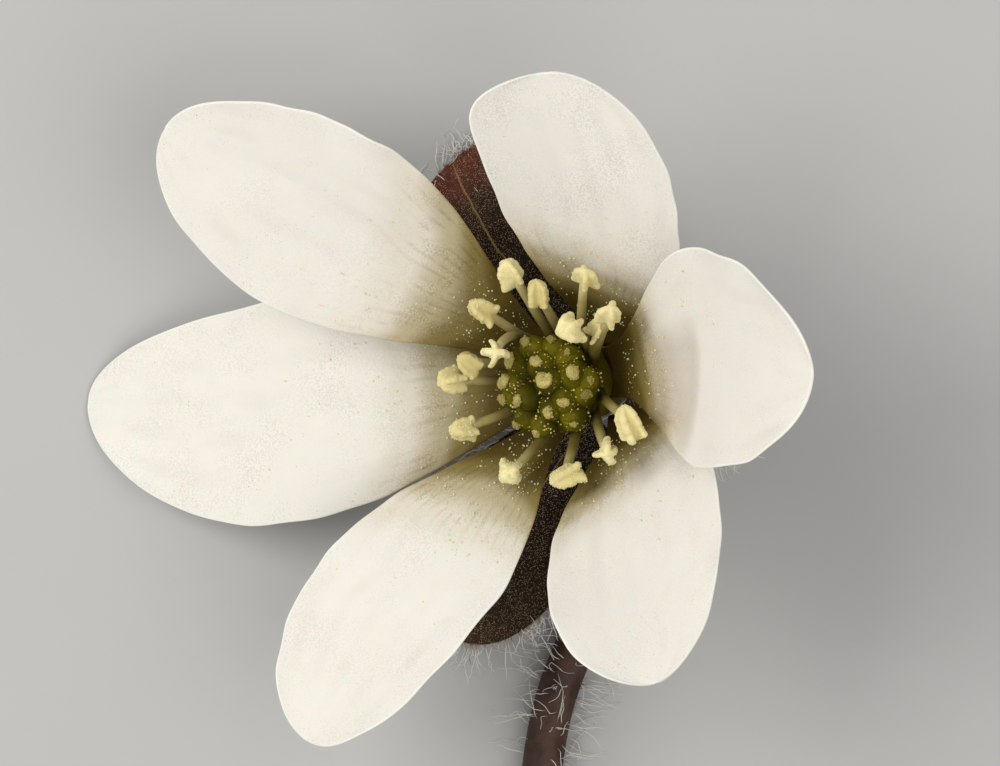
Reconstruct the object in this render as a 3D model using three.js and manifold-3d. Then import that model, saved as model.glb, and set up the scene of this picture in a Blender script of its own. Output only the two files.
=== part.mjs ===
// A picked hepatica flower, lying on a surface: six petal-like sepals, three bracts under them, a bent hairy
// stem, a green head of carpels and a ring of stamens. Millimetres, +Z up, the surface at z = 0.
import * as THREE from "three";
import { mergeVertices } from "three/addons/utils/BufferGeometryUtils.js";
import Module from "manifold-3d";

const wasm = await Module();
wasm.setup();

// The bloom: where the middle of its base sits, and how its axis leans.
const bloomBase = new THREE.Vector3(4.45, 11.15, 4.2);
const leanAngle = 30; // degrees from upright
const leanHeading = 188; // degrees from +X

// Blades are closed solids of one thickness. Their rows run from base to tip, their columns across.
const bladeThickness = 0.6;
const sepalGrid = { rows: 14, columns: 8 };
const bractGrid = { rows: 9, columns: 6 };
const midlineSteps = 60;

// Where a blade's base meets the receptacle, as a radius and a height in the bloom's own frame.
const innerSeat = { radius: 1.5, height: 0.2 };
const outerSeat = { radius: 1.7, height: -0.75 };
const bractSeat = { radius: 1.35, height: -1.75 };

// Each blade: azimuth of its base and yaw of its midline from that, length and greatest width, rise of the
// midline above the bloom's plane at base and tip (degrees) and how it eases from one to the other, sideways
// sweep of the tip and bow of the middle, twist at the tip (degrees), and how far the edges cup upwards.
const bladeDefaults = {
  yaw: 0,
  ease: 1.6,
  sweep: 0,
  bow: 0,
  twist: 0,
  cup: 0.15,
  outline: { neck: 0.16, widest: 0.58, lopside: 0, taper: 1.15, blunt: 2.3 },
};

// The outline: neck is the base's share of the width, widest is how far out the blade is widest, lopside
// moves that point apart on the two sides, taper bends the lower edges and blunt fills the tip.
const sepals = [
  {
    seat: innerSeat, azimuth: 144, yaw: 2, length: 14.3, width: 6.6, rise: [49, 22], sweep: -0.9, bow: -0.7,
    outline: { widest: 0.61, lopside: 0.03, taper: 1.6, blunt: 1.7 },
  },
  {
    seat: outerSeat, azimuth: 181, length: 15.2, width: 7.5, rise: [38, 8.4], sweep: 0.35, bow: 0.5, twist: 8,
    cup: 0.08,
    outline: { widest: 0.5, lopside: 0.12, taper: 1.1, blunt: 1.6 },
  },
  {
    seat: innerSeat, azimuth: 237, yaw: 5, length: 13.2, width: 5.7, rise: [51, 20.5], sweep: -0.2,
    bow: -0.2, twist: 2,
    outline: { widest: 0.56, lopside: -0.08, taper: 1.6 },
  },
  {
    seat: outerSeat, azimuth: 313, yaw: -13, length: 11.0, width: 5.9, rise: [52, 26], ease: 1.5,
    bow: 0.35, twist: -30,
    outline: { widest: 0.54, lopside: -0.14, taper: 1, blunt: 1.9 },
  },
  {
    seat: innerSeat, azimuth: 17, yaw: -11, length: 12.2, width: 6.8, rise: [40, 20], ease: 0.65,
    sweep: -0.5, bow: 0.35, twist: -7, cup: 0.19,
    outline: { neck: 0.25, widest: 0.59, lopside: -0.03, taper: 1.9, blunt: 1.9 },
  },
  {
    seat: outerSeat, azimuth: 59.5, yaw: 21, length: 11.2, width: 5.7, rise: [55, 27], bow: -0.7, twist: 28,
    outline: { neck: 0.21, widest: 0.7, lopside: 0.16, taper: 0.9, blunt: 2.8 },
  },
];

const bractForm = {
  seat: bractSeat,
  cup: 0.12,
  outline: { neck: 0.34, widest: 0.55, taper: 1.1, blunt: 2.2 },
};
const bracts = [
  { azimuth: 127, length: 7.75, width: 6.6, rise: [2, -7], sweep: 0.6, bow: 0.6 },
  { azimuth: 237, length: 8.5, width: 5.2, rise: [10, 10] },
  { azimuth: 0, length: 5.3, width: 4.9, rise: [2, 24] },
];

// The stem: the receptacle is turned round the bloom's axis as [height, radius], and the stem goes on.
const receptacleProfile = [
  [0.7, 0.8],
  [0.4, 0.95],
  [-0.5, 1.1],
  [-1.2, 0.95],
  [-1.8, 0.8],
];
const stemRadius = 0.65;
const stemSides = 8;
const neckHeight = -2.4; // where the straight neck ends and the bend begins
const bendReach = 1.65; // how far the bend goes on along the bloom's axis before it turns
const landingReach = 2.15; // and how far it runs level before it lies on the surface
const bendSteps = 10;
const lieSteps = 16;
const stemTouchdown = [1.7, -4.4]; // from the bloom's base, where the stem comes to lie on the surface
const stemLie = [
  [0.1, -7.6],
  [-1.1, -11],
  [-1.5, -16.5],
  [-0.9, -23],
  [0.3, -28],
  [0.8, -32],
];

// The carpels: a small core, [height, radius] as the receptacle, carries a cluster of ovoids, each with a
// stigma on its tip. Their list gives the azimuth, radius and height of each tip.
const carpelCoreProfile = [
  [1.0, 0.5],
  [1.7, 0.75],
  [2.2, 0.75],
  [2.7, 0.45],
];
const carpelCoreSides = 10;
const carpelRoot = { share: 0.3, height: 1.45 }; // where each points from, its radius as a share of the tip's
const carpelSize = { length: 1.35, width: 0.85 };
const carpelTips = [
  [85, 0.9, 3.2],
  [24, 1.4, 3.0],
  [170, 1.25, 2.95],
  [208, 0.75, 3.1],
  [339, 1.05, 3.1],
  [297, 0.8, 3.0],
  [36, 0.55, 3.35],
  [108, 1.55, 2.85],
  [77, 1.6, 2.7],
  [138, 1.35, 2.95],
  [355, 1.6, 2.7],
  [316, 1.55, 2.7],
  [262, 1.4, 2.75],
  [230, 1.5, 2.65],
  [194, 1.5, 2.65],
  [51, 1.5, 2.75],
  [10, 1.75, 2.65],
];
const stigmaWidth = 0.42;
const carpelFacets = [8, 6];
const stigmaFacets = [6, 4];
const antherFacets = [6, 5];

// The stamens: a ring that their feet join, and each anther's azimuth, radius and height, its roll and size.
const stamenRing = { radius: 1.32, height: 1.22, thickness: 0.24, sides: 6, steps: 30 };
const filament = { footRadius: 0.2, tipRadius: 0.13, steps: 6, sides: 6 };
// How far out a filament bows to pass the carpels: the wider its anther stands, the less.
const filamentBow = { height: 2.15, reach: 3.35, lessPerRadius: 0.4, least: 2.1, most: 2.6 };
const antherSize = { length: 1.0, width: 0.52, depth: 0.4 };
const antherLean = 0.35; // outward for each millimetre up
const stamens = [
  { azimuth: 99, radius: 3.8, height: 3.5, roll: 10, scale: 1 },
  { azimuth: 85, radius: 3.1, height: 3.4, roll: 70, scale: 1 },
  { azimuth: 60, radius: 4.2, height: 3.6, roll: 20, scale: 1 },
  { azimuth: 39, radius: 3.95, height: 3.75, roll: 50, scale: 0.9 },
  { azimuth: 49, radius: 2.65, height: 4.05, roll: 0, scale: 1.1 },
  { azimuth: 42, radius: 2.95, height: 2.9, roll: 30, scale: 0.85 },
  { azimuth: 125, radius: 3.1, height: 3.4, roll: 80, scale: 1 },
  { azimuth: 124, radius: 1.45, height: 4.2, roll: 45, scale: 1 },
  { azimuth: 160, radius: 2.4, height: 3.4, roll: 15, scale: 0.9 },
  { azimuth: 175, radius: 3, height: 3.3, roll: 60, scale: 1.05 },
  { azimuth: 206, radius: 2.9, height: 3.3, roll: 35, scale: 1 },
  { azimuth: 250, radius: 2.8, height: 3.2, roll: 5, scale: 1 },
  { azimuth: 288.5, radius: 2.85, height: 3, roll: 75, scale: 1 },
  { azimuth: 323, radius: 3.2, height: 3.2, roll: 45, scale: 1 },
  { azimuth: 347.5, radius: 3.9, height: 4, roll: 20, scale: 1 },
];

const degrees = THREE.MathUtils.degToRad;
const up = new THREE.Vector3(0, 0, 1);

function bloomMatrix() {
  const heading = degrees(leanHeading);
  const hinge = new THREE.Vector3(-Math.sin(heading), Math.cos(heading), 0);
  return new THREE.Matrix4().makeRotationAxis(hinge, degrees(leanAngle)).setPosition(bloomBase);
}
const bloom = bloomMatrix();

// A point of the bloom's own frame, from an azimuth in degrees, a radius and a height.
function around(azimuth, radius, height) {
  const angle = degrees(azimuth);
  return new THREE.Vector3(radius * Math.cos(angle), radius * Math.sin(angle), height);
}

// A geometry made of a list of points and a list of triangles that index it.
function meshOf(points, triangles) {
  const geometry = new THREE.BufferGeometry();
  geometry.setAttribute("position", new THREE.Float32BufferAttribute(points.flatMap((p) => p.toArray()), 3));
  geometry.setIndex(triangles.flat());
  return geometry;
}

function solidOf(geometry) {
  const bare = geometry.clone();
  bare.deleteAttribute("normal");
  bare.deleteAttribute("uv");
  const merged = mergeVertices(bare, 1e-5);
  return new wasm.Manifold(
    new wasm.Mesh({
      numProp: 3,
      vertProperties: new Float32Array(merged.getAttribute("position").array),
      triVerts: new Uint32Array(merged.index.array),
    }),
  );
}

function geometryOf(solid) {
  const mesh = solid.getMesh();
  const geometry = new THREE.BufferGeometry();
  geometry.setAttribute("position", new THREE.BufferAttribute(mesh.vertProperties, 3));
  geometry.setIndex(new THREE.BufferAttribute(mesh.triVerts, 1));
  return geometry;
}

function joined(geometries) {
  return geometryOf(geometries.map(solidOf).reduce((whole, next) => whole.add(next)));
}

// Cuts away what reaches below the surface, which leaves a small flat spot to rest on.
function restedOnSurface(geometry) {
  const size = 100;
  const ground = new THREE.BoxGeometry(size, size, size).translate(0, 0, -size / 2);
  return geometryOf(solidOf(geometry).subtract(solidOf(ground)));
}

// Half the width of a blade at s along it (0 to 1) on the side of u (-1 to 1), as a share of the greatest.
function outlineShare(outline, s, u) {
  const widest = outline.widest + outline.lopside * Math.sign(u);
  if (s < widest) {
    return outline.neck + (1 - outline.neck) * Math.sin((Math.PI / 2) * (s / widest)) ** outline.taper;
  }
  const out = (s - widest) / (1 - widest);
  return Math.sqrt(Math.max(0, 1 - out ** outline.blunt));
}

// The blade's midline: how far out and up it has come at s, and its rise there.
function midline(blade, s) {
  const [atBase, atTip] = blade.rise.map(degrees);
  const riseAt = (t) => atTip + (atBase - atTip) * (1 - t) ** blade.ease;
  const stepLength = (blade.length * s) / midlineSteps;
  let out = 0;
  let height = 0;
  for (let i = 0; i < midlineSteps; i++) {
    const rise = riseAt((s * (i + 0.5)) / midlineSteps);
    out += Math.cos(rise) * stepLength;
    height += Math.sin(rise) * stepLength;
  }
  return { out, height, rise: riseAt(s) };
}

// The point of a blade's middle surface at s along it and u across it, in the bloom's frame.
function bladePoint(blade, s, u) {
  const line = midline(blade, s);
  const outward = around(blade.azimuth + blade.yaw, 1, 0);
  const sideways = new THREE.Vector3(-outward.y, outward.x, 0);
  const normal = new THREE.Vector3()
    .addScaledVector(outward, -Math.sin(line.rise))
    .addScaledVector(up, Math.cos(line.rise));
  const twist = degrees(blade.twist) * Math.sin((Math.PI / 2) * s);
  const across = sideways.clone().multiplyScalar(Math.cos(twist)).addScaledVector(normal, Math.sin(twist));
  const lift = normal.clone().multiplyScalar(Math.cos(twist)).addScaledVector(sideways, -Math.sin(twist));
  const halfWidth = (blade.width / 2) * outlineShare(blade.outline, s, u);
  return around(blade.azimuth, blade.seat.radius, blade.seat.height)
    .addScaledVector(outward, line.out)
    .addScaledVector(up, line.height)
    .addScaledVector(sideways, blade.sweep * s * s + blade.bow * 4 * s * (1 - s))
    .addScaledVector(across, halfWidth * u)
    .addScaledVector(lift, blade.cup * halfWidth * u * u);
}

// The unit normal of the middle surface, from two short steps on it.
function bladeNormal(blade, s, u) {
  const step = 0.01;
  const inward = THREE.MathUtils.clamp(s, step, 1 - 3 * step);
  const along = bladePoint(blade, inward + step, u).sub(bladePoint(blade, inward - step, u));
  const side = bladePoint(blade, inward, u + step).sub(bladePoint(blade, inward, u - step));
  return along.cross(side).normalize();
}

// A closed blade: an upper and a lower face split alike, which meet in an edge wall, with a fan at the tip.
function bladeGeometry(blade, grid) {
  const points = [];
  const triangles = [];
  const half = bladeThickness / 2;
  const rowLength = grid.columns + 1;
  for (const side of [half, -half]) {
    for (let row = 0; row <= grid.rows; row++) {
      const s = Math.sin(((Math.PI / 2) * row) / grid.rows);
      const places = row < grid.rows ? rowLength : 1;
      for (let column = 0; column < places; column++) {
        const u = places > 1 ? -1 + (2 * column) / grid.columns : 0;
        points.push(bladePoint(blade, s, u).addScaledVector(bladeNormal(blade, s, u), side));
      }
    }
  }
  const faceSize = grid.rows * rowLength + 1;
  const tip = faceSize - 1;
  const addBoth = (a, b, c) => {
    triangles.push([a, b, c], [faceSize + a, faceSize + c, faceSize + b]);
  };
  for (let row = 0; row < grid.rows - 1; row++) {
    for (let column = 0; column < grid.columns; column++) {
      const a = row * rowLength + column;
      addBoth(a, a + rowLength, a + rowLength + 1);
      addBoth(a, a + rowLength + 1, a + 1);
    }
  }
  const lastRow = (grid.rows - 1) * rowLength;
  for (let column = 0; column < grid.columns; column++) {
    addBoth(lastRow + column, tip, lastRow + column + 1);
  }
  const rim = [];
  for (let column = grid.columns; column > 0; column--) rim.push(column);
  for (let row = 0; row < grid.rows; row++) rim.push(row * rowLength);
  rim.push(tip);
  for (let row = grid.rows - 1; row > 0; row--) rim.push(row * rowLength + grid.columns);
  rim.forEach((a, i) => {
    const b = rim[(i + 1) % rim.length];
    triangles.push([a, faceSize + a, b], [b, faceSize + a, faceSize + b]);
  });
  return meshOf(points, triangles);
}

function bladeMesh(name, given, grid, material) {
  const blade = { ...bladeDefaults, ...given, outline: { ...bladeDefaults.outline, ...given.outline } };
  const geometry = bladeGeometry(blade, grid).applyMatrix4(bloom);
  return namedMesh(name, restedOnSurface(geometry), material);
}

function namedMesh(name, geometry, material) {
  geometry.computeVertexNormals();
  const mesh = new THREE.Mesh(geometry, material);
  mesh.name = name;
  return mesh;
}

// A closed round body along a list of points, each with its own radius. Its seam stays level wherever the
// body isn't upright, so that a stem lying along the surface has a flat side down.
function roundBody(points, radii, sides) {
  const vertices = [];
  const triangles = [];
  let seam = new THREE.Vector3(1, 0, 0);
  points.forEach((point, i) => {
    const before = points[Math.max(0, i - 1)];
    const after = points[Math.min(points.length - 1, i + 1)];
    const along = after.clone().sub(before).normalize();
    const level = up.clone().cross(along);
    const next = level.length() > 0.2 ? level.multiplyScalar(Math.sign(level.dot(seam)) || 1) : seam;
    seam = next.clone().addScaledVector(along, -next.dot(along)).normalize();
    const third = along.clone().cross(seam);
    for (let side = 0; side < sides; side++) {
      const angle = ((side + 0.5) / sides) * 2 * Math.PI;
      vertices.push(
        point
          .clone()
          .addScaledVector(seam, radii[i] * Math.cos(angle))
          .addScaledVector(third, radii[i] * Math.sin(angle)),
      );
    }
  });
  const rings = points.length;
  for (let ring = 0; ring < rings - 1; ring++) {
    for (let side = 0; side < sides; side++) {
      const a = ring * sides + side;
      const b = ring * sides + ((side + 1) % sides);
      triangles.push([a, b, b + sides], [a, b + sides, a + sides]);
    }
  }
  const first = vertices.length;
  vertices.push(points[0].clone(), points[rings - 1].clone());
  const lastRing = (rings - 1) * sides;
  for (let side = 0; side < sides; side++) {
    const next = (side + 1) % sides;
    triangles.push([first, next, side], [first + 1, lastRing + side, lastRing + next]);
  }
  return meshOf(vertices, triangles);
}

// The receptacle and the stem as one body: straight under the bloom, bent over onto the surface, then lying
// on it in a loose S.
function stemGeometry() {
  const onAxis = (height) => new THREE.Vector3(0, 0, height).applyMatrix4(bloom);
  const flatHeight = stemRadius * Math.cos(Math.PI / stemSides);
  const onSurface = ([x, y]) => new THREE.Vector3(bloomBase.x + x, bloomBase.y + y, flatHeight);
  const neck = onAxis(neckHeight);
  const touchdown = onSurface(stemTouchdown);
  const lie = new THREE.CatmullRomCurve3([touchdown, ...stemLie.map(onSurface)]);
  const landing = lie.getTangent(0).multiplyScalar(-landingReach).add(touchdown);
  const bend = new THREE.CubicBezierCurve3(neck, onAxis(neckHeight - bendReach), landing, touchdown);
  const points = receptacleProfile.map(([height]) => onAxis(height));
  points.push(...bend.getPoints(bendSteps), ...lie.getSpacedPoints(lieSteps).slice(1));
  const radii = points.map((point, i) => receptacleProfile[i]?.[1] ?? stemRadius);
  return roundBody(points, radii, stemSides);
}

// An ovoid of the given length along its own Z, with facets as [round it, along it].
function ovoid(length, width, depth, facets) {
  return new THREE.SphereGeometry(0.5, ...facets).rotateX(Math.PI / 2).scale(width, depth, length);
}

// Turns a geometry's own Z to the given direction and moves it to the given place.
function placed(geometry, direction, place) {
  const turn = new THREE.Quaternion().setFromUnitVectors(up, direction.clone().normalize());
  return geometry.applyQuaternion(turn).translate(place.x, place.y, place.z);
}

function carpelsGeometry() {
  const parts = [
    roundBody(
      carpelCoreProfile.map(([height]) => new THREE.Vector3(0, 0, height)),
      carpelCoreProfile.map(([, radius]) => radius),
      carpelCoreSides,
    ),
  ];
  for (const [azimuth, radius, height] of carpelTips) {
    const tip = around(azimuth, radius, height);
    const root = around(azimuth, radius * carpelRoot.share, carpelRoot.height);
    const direction = tip.clone().sub(root).normalize();
    const middle = tip.clone().addScaledVector(direction, -carpelSize.length / 2);
    const body = ovoid(carpelSize.length, carpelSize.width, carpelSize.width, carpelFacets);
    const stigma = ovoid(stigmaWidth, stigmaWidth, stigmaWidth, stigmaFacets);
    parts.push(placed(body, direction, middle), placed(stigma, direction, tip));
  }
  return joined(parts).applyMatrix4(bloom);
}

// One stamen: a filament that curves out from the ring round the carpels, and two crossed lobes on its tip.
function stamenParts(stamen) {
  const { azimuth, radius, height, roll, scale } = stamen;
  const wanted = filamentBow.reach - filamentBow.lessPerRadius * radius;
  const bow = THREE.MathUtils.clamp(wanted, filamentBow.least, filamentBow.most);
  const curve = new THREE.QuadraticBezierCurve3(
    around(azimuth, stamenRing.radius, stamenRing.height),
    around(azimuth, bow, filamentBow.height),
    around(azimuth, radius, height),
  );
  const points = curve.getPoints(filament.steps);
  const radii = points.map((point, i) => {
    return THREE.MathUtils.lerp(filament.footRadius, filament.tipRadius, i / filament.steps);
  });
  const tip = points.at(-1);
  const outward = around(azimuth, antherLean, 1);
  const parts = [roundBody(points, radii, filament.sides)];
  for (const turn of [roll, roll + 90]) {
    const lobe = ovoid(antherSize.length, antherSize.width, antherSize.depth, antherFacets);
    lobe.scale(scale, scale, scale).rotateY(Math.PI / 2).rotateZ(degrees(turn));
    parts.push(placed(lobe, outward, tip));
  }
  return parts;
}

function stamensGeometry() {
  const { radius, height, thickness, sides, steps } = stamenRing;
  const ring = new THREE.TorusGeometry(radius, thickness, sides, steps).translate(0, 0, height);
  const parts = [ring, ...stamens.flatMap(stamenParts)];
  return joined(parts).applyMatrix4(bloom);
}

const sepalMaterial = new THREE.MeshStandardMaterial({ color: 0xece7db, roughness: 0.7 });
const bractMaterial = new THREE.MeshStandardMaterial({ color: 0x3a2418, roughness: 0.75 });
const stemMaterial = new THREE.MeshStandardMaterial({ color: 0x54382c, roughness: 0.7 });
const carpelMaterial = new THREE.MeshStandardMaterial({ color: 0x5c5510, roughness: 0.5 });
const stamenMaterial = new THREE.MeshStandardMaterial({ color: 0xe4d9a8, roughness: 0.6 });

const flower = new THREE.Group();
sepals.forEach((sepal, i) => {
  flower.add(bladeMesh(`sepal_${i + 1}`, sepal, sepalGrid, sepalMaterial.clone()));
});
bracts.forEach((bract, i) => {
  flower.add(bladeMesh(`bract_${i + 1}`, { ...bractForm, ...bract }, bractGrid, bractMaterial.clone()));
});
flower.add(namedMesh("stem", stemGeometry(), stemMaterial));
flower.add(namedMesh("carpels", carpelsGeometry(), carpelMaterial));
flower.add(namedMesh("stamens", stamensGeometry(), stamenMaterial));

export default flower;
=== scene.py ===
"""Looks of a picked hepatica flower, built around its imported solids.

Every blade, hair and grain is made from formulas in millimetres, in the bloom's own frame or in the row
frame, and turned into metres when its mesh is made.
"""

import math

import bpy
import numpy as np
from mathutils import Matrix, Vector
from numpy.random import default_rng


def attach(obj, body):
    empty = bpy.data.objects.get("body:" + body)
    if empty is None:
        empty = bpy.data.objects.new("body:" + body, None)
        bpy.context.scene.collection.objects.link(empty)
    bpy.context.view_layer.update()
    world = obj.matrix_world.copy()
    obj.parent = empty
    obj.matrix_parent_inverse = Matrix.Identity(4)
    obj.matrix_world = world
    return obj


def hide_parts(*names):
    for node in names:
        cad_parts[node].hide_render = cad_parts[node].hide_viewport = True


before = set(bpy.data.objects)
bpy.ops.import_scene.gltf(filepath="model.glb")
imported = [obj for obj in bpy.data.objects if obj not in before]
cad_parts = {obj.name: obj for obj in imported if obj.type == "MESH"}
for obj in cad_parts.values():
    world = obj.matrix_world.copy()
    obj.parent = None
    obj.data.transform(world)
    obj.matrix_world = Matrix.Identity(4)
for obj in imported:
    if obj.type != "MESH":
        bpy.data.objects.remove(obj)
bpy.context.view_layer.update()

MM = 0.001
TURN = 2 * math.pi
UP = np.array([0.0, 0.0, 1.0])

# The bloom: where the middle of its base sits, and how its axis leans.
BLOOM_BASE = np.array([4.45, 11.15, 4.2])
LEAN_ANGLE = 30
LEAN_HEADING = 188

# The blades are the solids' own. Each one's seat is where its base meets the receptacle, as a radius and a
# height in the bloom's frame. See blade_points for the other values. Each sepal also has its shade (how far
# along it the dark base reaches, a base that is partly its own colour and partly painted shade, and by how
# much more on the side of +u), its grain (how strongly its papillae show, with their painted glints), how
# many grains of pollen lie on it, and its dip (how deep it is folded inwards in a hollow above its base,
# which painted shade greys). Each bract also has how red its tip is and the range of its hairs' lengths.
BLADE = dict(
    yaw=0, ease=1.6, sweep=0, bow=0, twist=0, cup=0.15,
    neck=0.16, widest=0.58, lopside=0, taper=1.15, blunt=2.3, dip=0,
)
INNER = dict(BLADE, seat=(1.5, 0.2))
OUTER = dict(BLADE, seat=(1.7, -0.75))
BRACT = dict(BLADE, seat=(1.35, -1.75), cup=0.12, neck=0.34, widest=0.55, taper=1.1, blunt=2.2)
SEPALS = [
    dict(INNER, azimuth=144, yaw=2, length=14.3, width=6.6, rise=(49, 22), sweep=-0.9, bow=-0.7,
         widest=0.61, lopside=0.03, taper=1.6, blunt=1.7, shade=(1.09, -0.08), grain_and_glint=0.2, pollen=150),
    dict(OUTER, azimuth=181, length=15.2, width=7.5, rise=(38, 8.4), sweep=0.35, bow=0.5, twist=8, cup=0.08,
         widest=0.5, lopside=0.12, taper=1.1, blunt=1.6, shade=(0.82, 0.0), grain_and_glint=0.42, pollen=210),
    dict(INNER, azimuth=237, yaw=5, length=13.2, width=5.7, rise=(51, 20.5), sweep=-0.2, bow=-0.2, twist=2,
         widest=0.56, lopside=-0.08, taper=1.6, shade=(0.96, -0.1), grain_and_glint=0.3, pollen=210),
    dict(OUTER, azimuth=313, yaw=-13, length=11.0, width=5.9, rise=(52, 26), ease=1.5, bow=0.35, twist=-30,
         widest=0.54, lopside=-0.14, taper=1, blunt=1.9, shade=(0.82, -0.42), grain_and_glint=0.16, pollen=150),
    dict(INNER, azimuth=17, yaw=-11, length=12.2, width=6.8, rise=(40, 20), ease=0.65, sweep=-0.5, bow=0.35,
         twist=-7, cup=0.19, neck=0.25, widest=0.59, lopside=-0.03, taper=1.9, blunt=1.9,
         shade=(0.83, -0.22), grain_and_glint=0.18, pollen=80, dip=0.16),
    dict(OUTER, azimuth=59.5, yaw=21, length=11.2, width=5.7, rise=(55, 27), bow=-0.7, twist=28, neck=0.21,
         widest=0.7, lopside=0.16, taper=0.9, blunt=2.8, shade=(0.96, 0.4), grain_and_glint=0.5, pollen=170),
]
BRACTS = [
    dict(BRACT, azimuth=127, length=7.75, width=6.6, rise=(2, -7), sweep=0.6, bow=0.6,
         red=1.0, hairs=(0.65, 1.35)),
    dict(BRACT, azimuth=237, length=8.5, width=5.2, rise=(10, 10), red=0.1, hairs=(0.6, 1.6)),
    dict(BRACT, azimuth=0, length=5.3, width=4.9, rise=(2, 24), red=0.5, hairs=(0.4, 0.95)),
]
# Where a dip is along and across its sepal, each as a middle and a reach.
DIP_ALONG = (0.36, 0.15)
DIP_ACROSS = (-0.3, 0.75)
BRACT_HAIRS = 230
BRACT_HAIR_RADIUS = 0.026
STEM_HAIRS = 800
STEM_HAIR_RADIUS = 0.018
STEM_HAIR_LENGTHS = (0.8, 1.9)

SEPAL_THICKNESS = 0.2
BRACT_THICKNESS = 0.26
# Below this height what lies on the surface is bent up.
FLOOR_EASE = 0.2

# The receptacle as (height, radius) on the bloom's axis. At NECK_HEIGHT the stem starts to bend over, and it
# lies on the surface along STEM_LIE, as offsets from the bloom's base.
RECEPTACLE = [(1.5, 0.35), (1.35, 0.8), (0.9, 1.12), (0.3, 1.22), (-0.5, 1.15), (-1.2, 0.98), (-1.8, 0.8)]
STEM_RADIUS = 0.65
NECK_HEIGHT = -2.4
BEND_REACH = 1.65
LANDING_REACH = 2.15
STEM_LIE = [(1.7, -4.4), (0.1, -7.6), (-1.1, -11), (-1.5, -16.5), (-0.9, -23), (0.3, -28), (0.8, -32)]

# Each carpel's azimuth, and the radius and height of its tip.
CARPELS = [
    (85, 0.9, 3.2), (24, 1.4, 3.0), (170, 1.25, 2.95), (208, 0.75, 3.1), (339, 1.05, 3.1), (297, 0.8, 3.0),
    (36, 0.55, 3.35), (108, 1.55, 2.85), (77, 1.6, 2.7), (138, 1.35, 2.95), (355, 1.6, 2.7),
    (316, 1.55, 2.7), (262, 1.4, 2.75), (230, 1.5, 2.65), (194, 1.5, 2.65), (51, 1.5, 2.75),
    (10, 1.75, 2.65),
]
# A carpel's root: its radius as a share of the tip's, and its height.
CARPEL_ROOT = (0.3, 1.45)
CARPEL_LENGTH = 1.35
CARPEL_WIDTH = 1.08
STIGMA_WIDTH = 0.4
GRAINS_ON_STIGMA = 26
# Within this reach of the head's axis stigmas are large and pale, beyond it small and dull, darkened partly
# by their own colour and partly by painted shade.
INNER_STIGMAS = 1.48
# How far from its middle the head is darkened by painted shade.
HOLLOW_SHADE_REACH = 0.8

# A filament's foot and the top of the ring that the stamens stand on, as radius and height in the bloom's
# frame. From there it bows out by BOW_REACH, less for an anther that is further out, within BOW_RANGE.
FILAMENT_FOOT = (0.95, 0.7)
STAMEN_RING = (1.32, 1.22)
FILAMENT_RADII = (0.19, 0.13)
FILAMENT_SIDES = 12
BOW_HEIGHT = 2.15
BOW_REACH = 3.35
BOW_LESS_PER_RADIUS = 0.4
BOW_RANGE = (2.1, 2.6)
ANTHER_LENGTH = 0.9
ANTHER_WIDTH = 1.0
# For each anther its azimuth, radius, height and size in the bloom's frame, then where its own axis heads
# (degrees from +X) and rises in the row frame, its roll, how far its four valves stand out, how full its
# middle is, how deep its colour (partly its own, partly painted shade) and how many grains are on it.
STAMENS = [
    (99, 3.8, 3.5, 1.05, 120, 38, 20, (1, 0.75, 0.8, 0.95), 0.4, 0.15, 22),
    (85, 3.1, 3.4, 1.0, 95, 25, 45, (0.85, 0.95, 0.85, 0.9), 0.36, 0.7, 14),
    (60, 4.2, 3.6, 0.95, 90, 62, 0, (0.9, 0.85, 1, 0.8), 0.36, 0.35, 22),
    (39, 3.95, 3.75, 1.0, 80, 60, 5, (1, 0.8, 0.75, 0.95), 0.36, 0.3, 22),
    (49, 2.65, 4.05, 1.1, 200, 66, 30, (1, 0.8, 0.95, 0.75), 0.6, 0, 26),
    (42, 2.95, 2.9, 0.85, 60, 50, 10, (0.9, 0.9, 0.8, 0.8), 0.5, 0.45, 90),
    (125, 3.1, 3.4, 1.0, 150, 28, 50, (0.95, 0.8, 0.9, 0.85), 0.36, 0.65, 14),
    (124, 1.45, 4.2, 0.95, 90, 86, 88, (1, 0.95, 1, 0.9), 0.36, 0, 26),
    (160, 2.4, 3.4, 0.95, 145, 22, 40, (0.9, 0.75, 0.9, 0.8), 0.36, 0.75, 12),
    (175, 3.0, 3.3, 1.05, 195, 38, 15, (1, 0.7, 0.9, 0.9), 0.42, 0.35, 20),
    (206, 2.9, 3.3, 0.95, 190, 30, 60, (0.85, 0.85, 0.8, 0.9), 0.5, 0.6, 120),
    (250, 2.8, 3.2, 0.95, 250, 74, 40, (0.95, 0.9, 1, 0.85), 0.66, 0.05, 150),
    (288.5, 2.85, 3.0, 1.1, 208, 14, 30, (0.9, 0.8, 0.85, 0.8), 0.5, 0.6, 240),
    (323, 3.2, 3.2, 0.95, 320, 80, 12, (0.95, 0.85, 0.95, 0.9), 0.4, 0.1, 60),
    (347.5, 3.9, 4.0, 1.25, 112, 16, 70, (1, 0.75, 0.95, 0.8), 0.4, 0.3, 40),
]

# The camera looks straight down, from a height above the surface and an offset to the left of the bloom's
# base. At SCALE_HEIGHT its picture is VIEW_WIDTH wide.
CAMERA_HEIGHT = 308
CAMERA_OFFSET = 2.66
SCALE_HEIGHT = 8
VIEW_WIDTH = 31.25

FLOOR_HALF_SIDE = 4000
FLOOR_TOP = -0.02
WORLD_COLOUR = (1.0, 0.99, 0.97, 1.0)
WORLD_STRENGTH = 0.42


# ---- vectors and frames


def unit(vectors):
    return vectors / np.maximum(np.linalg.norm(vectors, axis=-1, keepdims=True), 1e-9)


def rotation(axis, angle):
    """The matrix that turns column vectors round a unit axis."""
    x, y, z = axis
    cross = np.array([[0, -z, y], [z, 0, -x], [-y, x, 0]])
    return np.eye(3) + math.sin(angle) * cross + (1 - math.cos(angle)) * (cross @ cross)


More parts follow.
